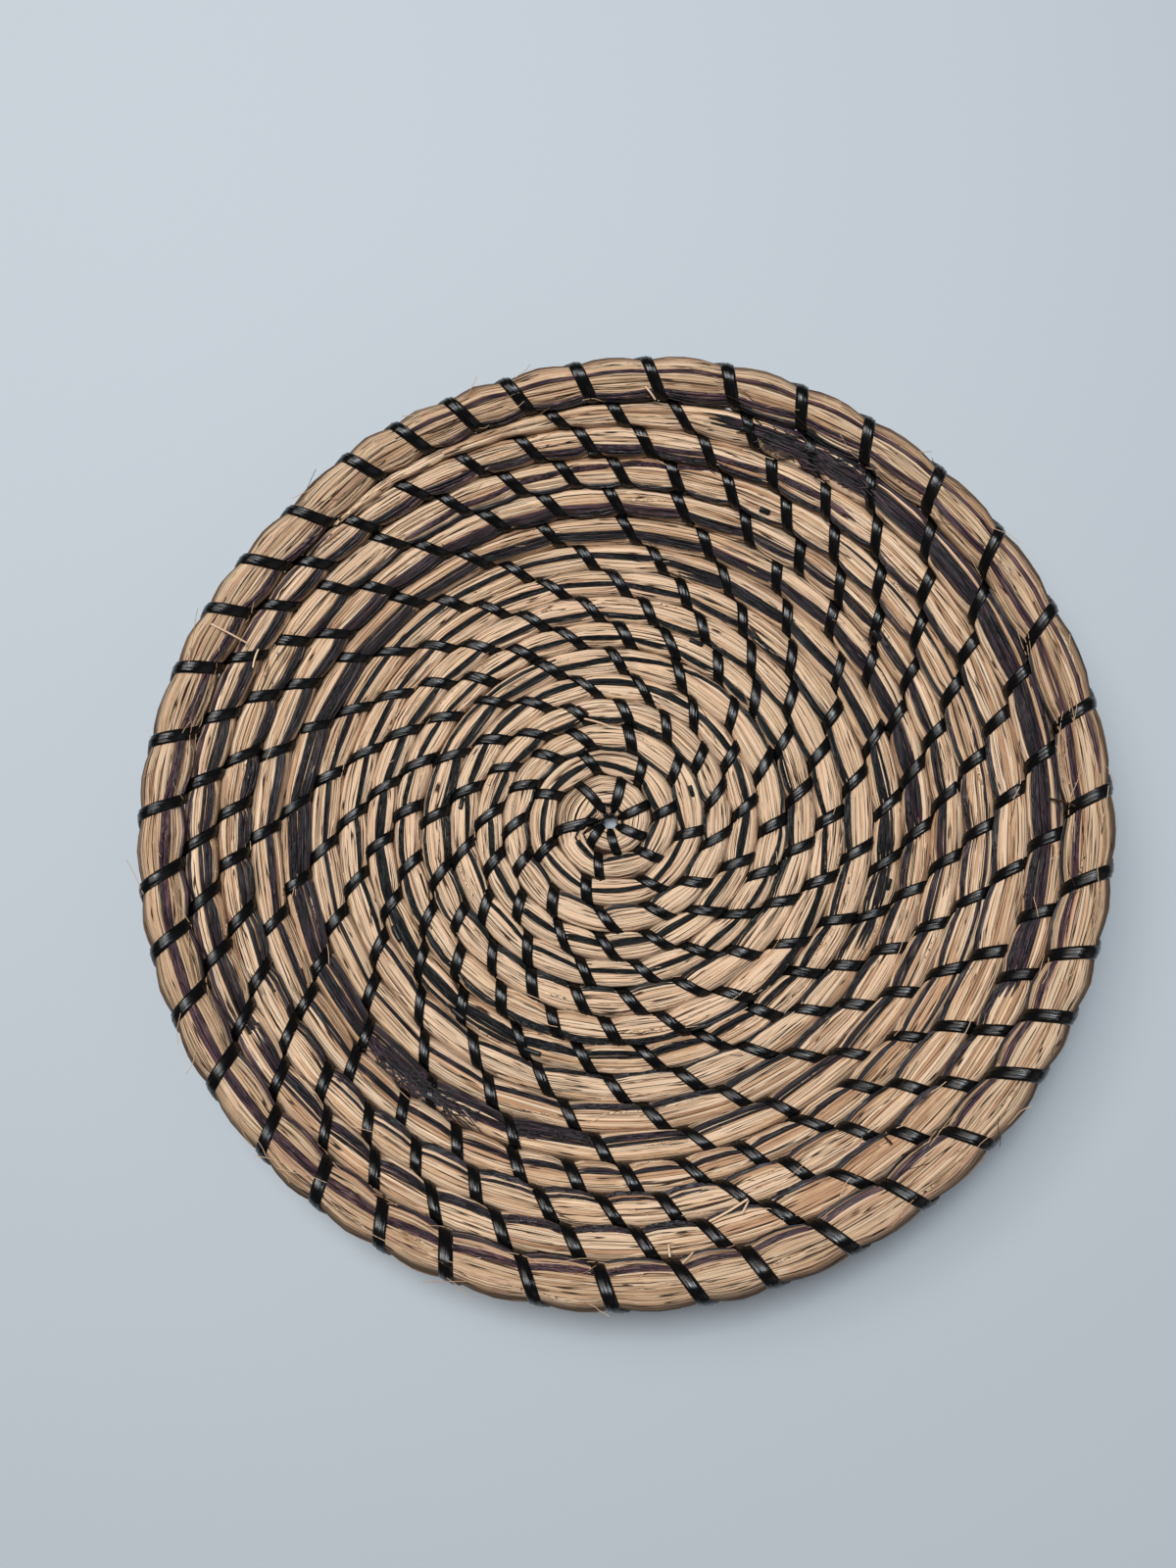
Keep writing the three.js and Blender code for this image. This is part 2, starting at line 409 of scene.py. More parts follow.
# A ring swept along guide lines, and where on the ring each point of the tube came from
def sweepRing(tree, lines, corners):
    ring = addNode(tree, "GeometryNodeCurvePrimitiveCircle", {"Resolution": corners, "Radius": 1.0})
    where = tree.nodes.new("GeometryNodeInputPosition").outputs[0]
    ring, corner = keepField(tree, ring.outputs["Curve"], where, vector=True)
    tube = sweep(tree, lines, ring)
    parts = addNode(tree, "ShaderNodeSeparateXYZ", {0: corner})
    return tube, Signal(tree, parts.outputs[0]), Signal(tree, parts.outputs[1])


# A coil's section is a rounded square; its angle starts at the outer side and passes over the top
skin = {"squareness": 0.8, "slantedShare": 0.62, "hookPower": 0.7, "nearestAxis": 0.0005}


def squared(x):
    if isinstance(x, Signal):
        return x.calc("ABSOLUTE").calc("POWER", skin["squareness"]) * x.calc("SIGN")
    return math.copysign(abs(x) ** skin["squareness"], x)


# Section angle of a place on top of the coil, from 0 at its inner side to 1 at its outer side
def angleAt(where):
    across = 2 * where - 1
    return math.acos(math.copysign(abs(across) ** (1 / skin["squareness"]), across))


# How far along the coil a stitch has come at a section angle on the top
def stitchCourse(inner, outer, angle):
    crossed = squared(cosine(angle)) * 0.5 + 0.5
    turned = greater(math.pi - angle, 0) / math.pi
    return blendOf(inner, outer, blendOf(powerOf(turned, skin["hookPower"]), crossed, skin["slantedShare"]))


# A point on the skin of a coil: rounds along it, a section angle, a shift along the skin and a
# lift off it
def buildSkinTree():
    sizes = {"Rounds": 0.0, "Section Angle": 0.0, "Shift": 0.0, "Lift": 0.0, "Thickness": 0.009,
             "Squeeze": 0.0, "Sag": 0.0, "On Rim": 0.0}
    tree, given, out = newTree("coilSkin", sizes, "Position", "NodeSocketVector")
    rounds, angle, onRim = given["rounds"], given["sectionAngle"], given["onRim"]
    inner = blendOf(coilInner(rounds), rimInner(rounds), onRim)
    outer = blendOf(coilOuter(rounds), rimOuter(rounds), onRim)
    across, upward = cosine(angle), sine(angle)
    shrink = 1 - given["squeeze"]
    halfWidth = (outer - inner) * 0.5 * shrink
    halfThick = given["thickness"] * 0.5 * shrink
    along = (inner + outer) * 0.5 + halfWidth * squared(across) - given["sag"]
    lift = halfThick * squared(upward)
    along = along + given["lift"] * across - given["shift"] * upward
    lift = lift + given["lift"] * upward + given["shift"] * across
    x, y, z = place(greater(along, skin["nearestAxis"]), lift, rounds)
    join(tree, combine(tree, x, y, z), out.inputs["Position"])
    return tree


skinTree = buildSkinTree()


# Moves a tube's points onto the skin of the coil that the tree was given
def layOnSkin(tree, tube, given, **values):
    node = addNode(tree, "GeometryNodeGroup", node_tree=skinTree)
    values = {**{key: given[key] for key in ("thickness", "squeeze", "onRim")}, **values}
    for socket in node.inputs:
        if keyOf(socket.name) in values:
            join(tree, values[keyOf(socket.name)], socket)
    where = node.outputs["Position"]
    return addNode(tree, "GeometryNodeSetPosition", {"Geometry": tube, "Position": where}).outputs[0]


def finishTree(tree, geometry, material, out):
    smooth = addNode(tree, "GeometryNodeSetShadeSmooth", {"Geometry": geometry})
    real = addNode(tree, "GeometryNodeRealizeInstances", {"Geometry": smooth.outputs[0]})
    painted = addNode(tree, "GeometryNodeSetMaterial", {"Geometry": real.outputs[0], "Material": material})
    join(tree, painted.outputs[0], out.inputs["Geometry"])


# Number of the stitch before a phase; the little that is added keeps whole phases whole
def wholePart(phase):
    phase = phase + 0.001
    return phase.calc("FLOOR") if isinstance(phase, Signal) else math.floor(phase)


# Between two stitches a bundle is straighter than its round, by so much at a part of the way
def sagAt(part, sag):
    return sag * part * (1 - part) * 4


# A stitch's course over the top and back underneath, kept within the coil's two ends
def courseRound(angle, inner, outer, following, onRim):
    beneath = blendOf(outer, following, -angle / math.pi)
    rounds = blendOf(beneath, stitchCourse(inner, outer, angle), isOver(angle, 0))
    return blendOf(lesser(greater(rounds, 0), bowl["coilRounds"] + bowl["tipRounds"]), rounds, onRim)


# Split stalks laid along a coil: each guide line is repeated as many stalks, spread round the
# section from its seat over its span, and drawn in where a stitch crosses
stalkShape = {
    "corners": 6,
    "pinchFrom": 0.0006,
    "freeFrom": 0.0018,
    "freeTo": 0.0036,
    "boundRise": 0.35,
    "freeRise": 0.15,
    "narrowest": 0.65,
    "widthSpread": 0.8,
    "boundCalm": 0.7,
    "turnover": 0.8,
    "shadedFrom": 0.7,
    "shadedTo": 0.1,
    "tonePace": 0.31,
}


# Here and in the strip's tree, the plain numbers beside an index, a seat, a seed or a stitch only
# keep one random draw from another
def buildStalkTree():
    sizes = {"Stalks": 24, "Width": 0.0017, "Bulk": 0.0009, "Thickness": 0.009, "Squeeze": 0.1,
             "Straggle": 0.0004, "Wander": 0.5, "Wander Pace": 0.12, "Proud": 0.0,
             "Pinch Reach": 0.0045, "Tone": 0.5, "Tone Spread": 1.0, "On Rim": 0.0, "Seed": 0,
             "Material": None}
    shape = stalkShape
    tree, given, out = newTree("layStalks", sizes)
    many = addNode(tree, "GeometryNodeDuplicateElements",
                   {"Geometry": guideCurve(tree, given), "Amount": given["stalks"]}, domain="SPLINE")
    lines, index = keepField(tree, many.outputs["Geometry"], many.outputs["Duplicate Index"])
    tube, acrossStalk, throughStalk = sweepRing(tree, lines, shape["corners"])
    phase, inner, outer, following, run = readFields(tree, "phase", "inner", "outer", "following", "run")
    sag, spacing, seat, span, girth = readFields(tree, "sag", "spacing", "seat", "span", "girth")
    seed = given["seed"]
    segment = wholePart(phase)
    part = phase - segment
    strayed = drift(tree, phase * given["wanderPace"], index * 7.3 + seat * 3, seed) * given["wander"] * 2
    share = (index + 0.5 + strayed) / given["stalks"]
    angle = seat + span * share
    rounds = courseRound(angle, inner, outer, following, given["onRim"])
    nearest = lesser(part, 1 - part) * spacing
    pinch = 1 - ease(nearest, shape["pinchFrom"], given["pinchReach"])
    free = ease(nearest, shape["freeFrom"], shape["freeTo"])
    late = ease(part, shape["turnover"], 1)
    rough = blendOf(chance(tree, segment, index, seed), chance(tree, segment + 1, index, seed), late)
    spread = chance(tree, index, seed, 3.7) * shape["widthSpread"]
    halfWidth = given["width"] * girth * (shape["narrowest"] + spread) * 0.5
    rise = throughStalk * given["bulk"] * (free * shape["freeRise"] + shape["boundRise"])
    straggle = given["straggle"] * (rough * 2 - 1) * (1 - pinch * shape["boundCalm"])
    shaped = layOnSkin(tree, tube, given, rounds=rounds, sectionAngle=angle, shift=acrossStalk * halfWidth,
                       lift=rise + given["proud"] * free + straggle, squeeze=pinch * given["squeeze"],
                       sag=sagAt(part, sag))
    group = (phase * shape["tonePace"] + chance(tree, index, seed, 9.1)).calc("FLOOR")
    toneDraw = chance(tree, group, index + seat * 5, seed + 0.5)
    grain = combine(tree, run, acrossStalk * halfWidth + index * 0.011, index * 0.37 + seat)
    shaped = storeField(tree, shaped, "tone", given["tone"] + (toneDraw - 0.5) * given["toneSpread"])
    shaped = storeField(tree, shaped, "grain", grain, vector=True)
    shaped = storeField(tree, shaped, "edge", acrossStalk.calc("ABSOLUTE"))
    # How far down a valley between rounds a point lies; the material paints shade from it
    height = sine(angle).calc("ABSOLUTE")
    shaped = storeField(tree, shaped, "depth", 1 - ease(height, shape["shadedTo"], shape["shadedFrom"]))
    shaped = storeField(tree, shaped, "pinch", pinch)
    finishTree(tree, shaped, given["material"], out)
    return tree


# The heart of a bundle, seen only in the cracks between its stalks; its dark colour is painted shade for the
# depth of the cracks
heartShape = {"corners": 12, "sagShare": 0.5}


def buildHeartTree():
    sizes = {"Thickness": 0.009, "Depth": 0.0009, "Squeeze": 0.1, "On Rim": 0.0, "Material": None}
    tree, given, out = newTree("fillCoil", sizes)
    tube, right, up = sweepRing(tree, guideCurve(tree, given), heartShape["corners"])
    angle = up.calc("ARCTAN2", right)
    inner, outer, following, phase, sag = readFields(tree, "inner", "outer", "following", "phase", "sag")
    part = phase - wholePart(phase)
    rounds = courseRound(angle, inner, outer, following, given["onRim"])
    shaped = layOnSkin(tree, tube, given, rounds=rounds, sectionAngle=angle, lift=-given["depth"],
                       sag=sagAt(part, sag * heartShape["sagShare"]))
    finishTree(tree, shaped, given["material"], out)
    return tree


# Flat ribbed strip wound round a coil: the guide line gives the rounds and the section angle
stripShape = {
    "corners": 28,
    "flatness": 0.8,
    "ribs": 8.5,
    "ribDrift": 3,
    "foldDrift": 5,
    "foldPace": 60,
    "widthDrift": 0.35,
    "grainWidth": 0.002,
}


def buildStripTree():
    sizes = {"Bulk": 0.0006, "Crown": 0.00035, "Rib": 0.00012, "Off": 0.0008, "Thickness": 0.009,
             "Squeeze": 0.1, "On Rim": 0.0, "Seed": 0, "Material": None}
    shape = stripShape
    tree, given, out = newTree("windStrip", sizes)
    tube, across, through = sweepRing(tree, guideCurve(tree, given), shape["corners"])
    rounds, angle, reach, run, stitch = readFields(tree, "rounds", "sectionAngle", "reach", "run", "stitch")
    wide = across.calc("SIGN") * across.calc("ABSOLUTE").calc("POWER", shape["flatness"])
    fold = drift(tree, stitch * 3.1, run * shape["foldPace"], given["seed"])
    waves = wide * (shape["ribs"] + fold * shape["ribDrift"]) + fold * shape["foldDrift"]
    ribs = cosine(waves) * given["rib"] * isOver(through, 0)
    crown = given["crown"] * (1 - wide * wide)
    width = 1 + drift(tree, stitch * 1.7, 0.5, given["seed"]) * shape["widthDrift"]
    shaped = layOnSkin(tree, tube, given, rounds=rounds + wide * reach * width, sectionAngle=angle,
                       lift=given["off"] + through * given["bulk"] * 0.5 + crown + ribs)
    grain = combine(tree, run, wide * shape["grainWidth"], stitch)
    shaped = storeField(tree, shaped, "grain", grain, vector=True)
    finishTree(tree, shaped, given["material"], out)
    return tree


# Fibres are plain thin tubes; their tone also gives each its own place in the grain
def buildFibreTree():
    tree, given, out = newTree("drawFibres", {"Radius": 0.0001, "Material": None})
    ring = addNode(tree, "GeometryNodeCurvePrimitiveCircle", {"Resolution": 4, "Radius": given["radius"]})
    tube = sweep(tree, guideCurve(tree, given), ring.outputs["Curve"])
    tone = readField(tree, "tone")
    shaped = storeField(tree, tube, "grain", combine(tree, 0.0, tone, tone), vector=True)
    finishTree(tree, shaped, given["material"], out)
    return tree


fibreTree = buildFibreTree()
stalkTree = buildStalkTree()
heartTree = buildHeartTree()
stripTree = buildStripTree()
print("node trees built")


def guideMesh(name, lines):
    points, edges = [], []
    values = {field: [] for field in lines[0][0] if field != "at"}
    for line in lines:
        for step, point in enumerate(line):
            if step:
                edges.append((len(points) - 1, len(points)))
            points.append(point["at"])
            for field in values:
                values[field].append(point[field])
    mesh = bpy.data.meshes.new(name)
    mesh.from_pydata(points, edges, [])
    for field in values:
        mesh.attributes.new(field, "FLOAT", "POINT").data.foreach_set("value", values[field])
    return mesh


# Runs a tree on guide lines and keeps the plain mesh that it makes
def grow(name, lines, tree, sizes):
    guide = addObject(name + ".guide", guideMesh(name + ".guide", lines))
    modifier = guide.modifiers.new("grow", "NODES")
    modifier.node_group = tree
    for item in tree.interface.items_tree:
        if item.in_out == "INPUT" and keyOf(item.name) in sizes:
            modifier[item.identifier] = sizes[keyOf(item.name)]
    graph = bpy.context.evaluated_depsgraph_get()
    evaluated = guide.evaluated_get(graph)
    mesh = bpy.data.meshes.new_from_object(evaluated, preserve_all_data_layers=True, depsgraph=graph)
    guide.modifiers.clear()
    bpy.data.objects.remove(guide)
    mesh.name = name
    return addObject(name, mesh)


def settle(piece, slot, *nodes):
    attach(piece, "root")
    if nodes:
        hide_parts(*nodes)


# Materials
def shade(red, green, blue):
    def linear(value):
        value /= 255
        return value / 12.92 if value <= 0.04045 else ((value + 0.055) / 1.055) ** 2.4
    return (linear(red), linear(green), linear(blue), 1)


def newMaterial(name, roughness):
    material = bpy.data.materials.new(name)
    material.use_nodes = True
    tree = material.node_tree
    shader = tree.nodes["Principled BSDF"]
    shader.inputs["Roughness"].default_value = roughness
    return material, tree, shader


def ramp(tree, factor, stops):
    node = addNode(tree, "ShaderNodeValToRGB", {"Fac": factor})
    while len(node.color_ramp.elements) < len(stops):
        node.color_ramp.elements.new(0.5)
    for element, (position, color) in zip(node.color_ramp.elements, stops):
        element.position = position
        element.color = color
    return node.outputs["Color"]


def mixColors(tree, factor, first, second, kind="MIX"):
    sockets = {0: factor, 6: first, 7: second}
    return addNode(tree, "ShaderNodeMix", sockets, data_type="RGBA", blend_type=kind).outputs[2]


def readMask(tree, name):
    return Signal(tree, addNode(tree, "ShaderNodeAttribute", attribute_name=name).outputs["Fac"])


# Grain of a stalk or strip: fine lines along it, cracks in patches, and a soft cloud
grainRule = {
    "lineFineness": 1.6,
    "crackPace": 1.7,
    "crackFineness": 0.62,
    "crackWidth": (0.036, 0.016),
    "patchPace": 4,
    "patchFineness": 0.35,
    "patchEdge": (0.4, 0.44),
    "cloud": (90.0, 300.0),
    "betweenStalks": 40.0,
    "roughness": 0.6,
    "contrast": (0.3, 0.7),
}


def buildGrainGroup():
    rule = grainRule
    tree = bpy.data.node_groups.new("stalkGrain", "ShaderNodeTree")
    for label, value in {"Along": 45.0, "Across": 1900.0}.items():
        tree.interface.new_socket(label, in_out="INPUT", socket_type="NodeSocketFloat").default_value = value
    for label in ("Lines", "Cracks", "Cloud"):
        tree.interface.new_socket(label, in_out="OUTPUT", socket_type="NodeSocketFloat")
    entry, out = tree.nodes.new("NodeGroupInput"), tree.nodes.new("NodeGroupOutput")
    along, across = Signal(tree, entry.outputs["Along"]), Signal(tree, entry.outputs["Across"])
    grain = addNode(tree, "ShaderNodeAttribute", attribute_name="grain").outputs["Vector"]

    def streaks(lengthwise, sideways, detail):
        scale = combine(tree, lengthwise, sideways, rule["betweenStalks"])
        stretched = addNode(tree, "ShaderNodeVectorMath", {0: grain, 1: scale}, operation="MULTIPLY")
        noise = addNode(tree, "ShaderNodeTexNoise", {"Vector": stretched.outputs[0], "Scale": 1.0,
                                                     "Detail": detail, "Roughness": rule["roughness"]})
        return Signal(tree, noise.outputs[0])

    def stretchedTo(signal, low, high):
        return Signal(tree, addNode(tree, "ShaderNodeMapRange", {0: signal, 1: low, 2: high}).outputs[0])

    lines = streaks(along, across * rule["lineFineness"], 2.0)
    # a crack runs where a second, coarser noise passes its middle, and only in patches
    coarse = streaks(along * rule["crackPace"], across * rule["crackFineness"], 0.0)
    patches = streaks(along * rule["patchPace"], across * rule["patchFineness"], 1.0)
    cracks = stretchedTo((coarse - 0.5).calc("ABSOLUTE"), *rule["crackWidth"])
    join(tree, stretchedTo(lines, *rule["contrast"]), out.inputs["Lines"])
    join(tree, cracks * stretchedTo(patches, *rule["patchEdge"]), out.inputs["Cracks"])
    join(tree, stretchedTo(streaks(*rule["cloud"], 2.0), *rule["contrast"]), out.inputs["Cloud"])
    return tree


grainGroup = buildGrainGroup()


# The group's lines, cracks and cloud, for a finish that says how fine they are
def addGrain(tree, finish):
    sizes = {"Along": finish["along"], "Across": finish["across"]}
    node = addNode(tree, "ShaderNodeGroup", sizes, node_tree=grainGroup)
    return [Signal(tree, socket) for socket in node.outputs]


strawFinish = {
    "tones": [(0.0, shade(198, 158, 126)), (0.22, shade(228, 195, 161)), (0.45, shade(241, 213, 184)),
              (0.7, shade(239, 207, 177)), (0.85, shade(235, 199, 169)), (1.0, shade(224, 175, 150))],
    "lines": [(0.0, shade(186, 160, 138)), (0.25, shade(230, 215, 200)), (0.4, shade(249, 244, 238)),
              (1.0, shade(253, 253, 252))],
    "along": 8.0,
    "across": 1500.0,
    "cloudShare": 0.15,
    # The crack colour draws the real cracks and also the painted shade at stalk edges and deep in the
    # valleys
    "crack": shade(58, 38, 26),
    "crackShare": 1.0,
    "edgeShare": 0.85,
    "edgeFrom": 0.8,
    "pinchedEdge": 0.24,
    "valleyShare": 0.85,
    "roughness": 0.7,
    "bump": 0.0003,
    "gloss": 0.25,
}
rimFinish = {
    **strawFinish,
    "tones": [(0.0, shade(168, 132, 101)), (0.25, shade(206, 174, 141)), (0.5, shade(222, 195, 167)),
              (0.7, shade(219, 191, 160)), (0.85, shade(210, 175, 147)), (1.0, shade(197, 154, 131))],
}
darkFinish = {
    **strawFinish,
    # The lightest of these tones, given to random stalks, are partly the stalks' own purple brown and partly
    # a painted highlight
    "tones": [(0.0, shade(20, 26, 24)), (0.3, shade(29, 29, 32)), (0.5, shade(44, 36, 41)),
              (0.8, shade(78, 54, 64)), (1.0, shade(110, 78, 80))],
    "lines": [(0.0, shade(110, 108, 112)), (0.35, shade(190, 188, 192)), (0.55, shade(255, 255, 255))],
    "crack": shade(12, 10, 11),
    "crackShare": 0.6,
    "edgeShare": 0.6,
    "valleyShare": 0.5,
    "roughness": 0.4,
    "bump": 0.0005,
    "gloss": 0.32,
}


def stalkMaterial(name, finish):
    material, tree, shader = newMaterial(name, finish["roughness"])
    lines, cracks, cloud = addGrain(tree, finish)
    tone, edge, pinch, depth = [readMask(tree, mask) for mask in ("tone", "edge", "pinch", "depth")]
    base = ramp(tree, blendOf(tone, cloud, finish["cloudShare"]), finish["tones"])
    lined = mixColors(tree, 1.0, base, ramp(tree, lines, finish["lines"]), "MULTIPLY")
    # Painted shade between the stalks: each stalk darkens towards its edges, more where a stitch pinches it,
    # in the same colour as the real cracks
    edge = ease(edge + pinch * finish["pinchedEdge"], finish["edgeFrom"], 1.0)
    dark = greater(cracks * finish["crackShare"], edge * finish["edgeShare"])
    crackedAndShaded = mixColors(tree, dark, lined, finish["crack"])
    # Painted shade, darker the deeper down a valley between rounds the stalk lies
    shaded = mixColors(tree, depth * finish["valleyShare"], crackedAndShaded, finish["crack"])
    bumped = addNode(tree, "ShaderNodeBump", {"Height": lines - cracks, "Distance": finish["bump"]})
    join(tree, shaded, shader.inputs["Base Color"])
    join(tree, bumped.outputs[0], shader.inputs["Normal"])
    shader.inputs["Specular IOR Level"].default_value = finish["gloss"]
    return material


# The heart's dark, mottled brown is painted shade: it stands for the shade deep in the cracks between the
# stalks
heartFinish = {
    "spots": [(0.3, shade(38, 26, 20)), (0.7, shade(78, 56, 40))],
    "spotScale": 700.0,
    "roughness": 0.9,
}


def heartMaterial():
    material, tree, shader = newMaterial("bundleHeart", heartFinish["roughness"])
    where = addNode(tree, "ShaderNodeTexCoord").outputs["Object"]
    sockets = {"Vector": where, "Scale": heartFinish["spotScale"], "Detail": 3.0}
    noise = addNode(tree, "ShaderNodeTexNoise", sockets)
    join(tree, ramp(tree, noise.outputs[0], heartFinish["spots"]), shader.inputs["Base Color"])
    return material


stripFinish = {
    "blacks": [(0.0, shade(3, 2, 2)), (0.6, shade(6, 5, 5)), (1.0, shade(11, 11, 12))],
    "along": 12.0,
    "across": 1500.0,
    "smoothest": 0.12,
    "roughest": 0.24,
    "bump": 0.00008,
    "gloss": 0.34,
}


def stripMaterial():
    finish = stripFinish
    material, tree, shader = newMaterial("blackStrip", finish["roughest"])
    lines, cracks, cloud = addGrain(tree, finish)
    rough = addNode(tree, "ShaderNodeMapRange", {0: cloud, 3: finish["smoothest"], 4: finish["roughest"]})
    bumped = addNode(tree, "ShaderNodeBump", {"Height": lines, "Distance": finish["bump"]})
    join(tree, ramp(tree, lines, finish["blacks"]), shader.inputs["Base Color"])
    join(tree, rough.outputs[0], shader.inputs["Roughness"])
    join(tree, bumped.outputs[0], shader.inputs["Normal"])
    shader.inputs["Specular IOR Level"].default_value = finish["gloss"]
    return material


straw = stalkMaterial("straw", strawFinish)
rimStraw = stalkMaterial("rimStraw", rimFinish)
darkStalk = stalkMaterial("darkStalk", darkFinish)
heart = heartMaterial()
blackStrip = stripMaterial()
print("materials made")


# A bundle says which stitches cross it, where it lies and how its stalks look. What lies on it
# starts from its values, and a tree takes those that are named like its inputs
coilBundle = {
    "stitches": coilStitches,
    "edges": (coilInner, coilOuter),
    "onRim": 0.0,
    "roundWidth": bowl["firstPitch"],
    "widthGain": bowl["pitchGrowth"],
    "thickness": 0.0088,
    "stalks": 38,
    "width": 0.0018,
    "bulk": 0.0009,
    "squeeze": 0.15,
    "straggle": 0.00036,
    "wander": 0.6,
    "pinchReach": 0.007,
    "straightened": 0.85,
    "seed": 5,
    "material": straw,
    "slot": "straw",
}
rimBundle = {
    "stitches": rimRound,
    "edges": (rimInner, rimOuter),
    "onRim": 1.0,
    "roundWidth": bowl["rimWidth"],
    "widthGain": 0,
    "thickness": 0.0118,
    "stalks": 54,
    "width": 0.0018,
    "bulk": 0.0010,
    "squeeze": 0.16,
    "straggle": 0.00040,
    "wander": 0.6,
    "pinchReach": 0.011,
    "straightened": 0.4,
    "seed": 8,
    "material": rimStraw,
    "slot": "rim_straw",
}
# Between two stitches a guide line has a few points, close together near the stitches, and a
# tapered line starts and ends at a share of its girth
guides = {
    "steps": (0, 0.12, 0.3, 0.5, 0.7, 0.88),
    "mostSag": 0.0011,
    "tipGirth": 0.15,
}


def stitchAt(stitches, phase, side):
    low = max(min(math.floor(phase), len(stitches) - 2), 0)
    return blendOf(stitches[low][side], stitches[low + 1][side], phase - low)


# A band says at which section angle the stalks begin, over what angle they spread and how wide
# they are there; without one they go all round the section
def bundleLine(bundle, first, last, bandOf=None, taper=0.0):
    line = []
    stitches = bundle["stitches"]
    marks = {first, last}
    for whole in range(math.floor(first), math.ceil(last)):
        marks.update(whole + step for step in guides["steps"])
    for phase in sorted(mark for mark in marks if first <= mark <= last):
        inner, outer = stitchAt(stitches, phase, 0), stitchAt(stitches, phase, 1)
        seat, span, girth = bandOf((inner + outer) / 2) if bandOf else (-math.pi, math.tau, 1.0)
        if taper:
            girth *= min(1, guides["tipGirth"] + min(phase - first, last - phase) / taper)
        middle = spiralEdge(inner - 0.5)
        radius = profile(middle)[0]
        before = wholePart(phase)
        spacing = (stitchAt(stitches, before + 1, 0) - stitchAt(stitches, before, 0)) * math.tau * radius
        sag = min(spacing ** 2 / (8 * radius), guides["mostSag"]) * bundle["straightened"]
        line.append({"at": Vector(place(middle, 0, inner)), "phase": phase, "inner": inner, "outer": outer,
                     "following": stitchAt(stitches, phase + 1, 0), "run": inner * math.tau * radius,
                     "spacing": spacing, "sag": sag, "seat": seat, "span": span, "girth": girth})
    return line


def layStraw(stalksName, heartName, bundle, first, last, node, **look):
    line = bundleLine(bundle, first, last)
    settle(grow(stalksName, [line], stalkTree, {**bundle, **look}), bundle["slot"], node)
    settle(grow(heartName, [line], heartTree, {**bundle, "material": heart}), bundle["slot"], node)


def stitchesOf(number):
    return [index for index, stitch in enumerate(coilStitches) if math.floor(stitch[0]) == number]


# Up the wall the straw is darker and its tones differ more; the last round runs on under the rim
foundation = {
    "baseTone": 0.55,
    "wallTone": 0.27,
    "toneRounds": (4, 12),
    "baseSpread": 0.6,
    "wallSpread": 0.9,
    "spreadRounds": (3, 9),
    "tipStitches": 4,
}
# The solids' coil is cut in three lengths, which end at these rounds
coilCuts = {"base_coil": 9, "lower_wall_coil": 12, "upper_wall_coil": 15}
lastRound = math.floor(coilStitches[-1][0])
for number in range(lastRound + 1):
    inRound = stitchesOf(number)
    runOn = 1 if number < lastRound else foundation["tipStitches"]
    tone = blendOf(foundation["baseTone"], foundation["wallTone"], ease(number, *foundation["toneRounds"]))
    differ = ease(number, *foundation["spreadRounds"])
    toneSpread = blendOf(foundation["baseSpread"], foundation["wallSpread"], differ)
    node = next(name for name, end in coilCuts.items() if number < end)
    layStraw(f"straw_round_{number + 1:02d}", f"straw_heart_{number + 1:02d}", coilBundle,
             inRound[0] if number else -1, inRound[-1] + runOn, node, tone=tone, toneSpread=toneSpread)
print("straw laid")
layStraw("rim_straw", "rim_heart", rimBundle, 0, len(rimStitches), "rim_coil")
print("rim laid")


# Dark stalks lie in the bundle's top, a little proud of the straw. Each round has one stripe of
# them, given by its place across the coil and its breadth in millimetres at every quarter round
stripeMarks = [
    (0.20, 0.9), (0.20, 0.9), (0.20, 1.0), (0.25, 1.2),
    (0.33, 1.5), (0.20, 1.4), (0.20, 1.8), (0.45, 1.8),
    (0.50, 1.5), (0.45, 1.6), (0.08, 1.4), (0.05, 2.0),
    (0.12, 1.1), (0.12, 1.1), (0.05, 1.5), (0.22, 1.9),
    (0.50, 1.8), (0.35, 2.0), (0.60, 2.0), (0.65, 2.0),
    (0.25, 1.2), (0.50, 1.8), (0.90, 0.6), (0.35, 2.2),
    (0.08, 3.0), (0.10, 2.0), (0.20, 2.0), (0.40, 1.5),
    (0.75, 1.8), (0.88, 2.4), (0.10, 1.2), (0.30, 1.7),
    (0.50, 3.4), (0.30, 2.0), (0.15, 1.8), (0.50, 1.8),
    (0.22, 1.1), (0.06, 0.9), (0.40, 2.4), (0.60, 1.8),
    (0.45, 1.2), (0.15, 2.0), (0.35, 2.6), (0.40, 3.2),
    (0.65, 3.8), (0.35, 3.0), (0.50, 2.2), (0.25, 3.4),
    (0.50, 1.6), (0.40, 1.4), (0.20, 1.0), (0.12, 1.0),
    (0.20, 2.4), (0.10, 1.2), (0.18, 1.2), (0.30, 2.4),
    (0.50, 3.0), (0.12, 1.4), (0.45, 2.4), (0.45, 2.0), (0.45, 2.0),
]
rimMarks = [(0.12, 1.8), (0.60, 2.4), (0.22, 1.4), (0.42, 1.6), (0.12, 1.8), (0.12, 1.8)]
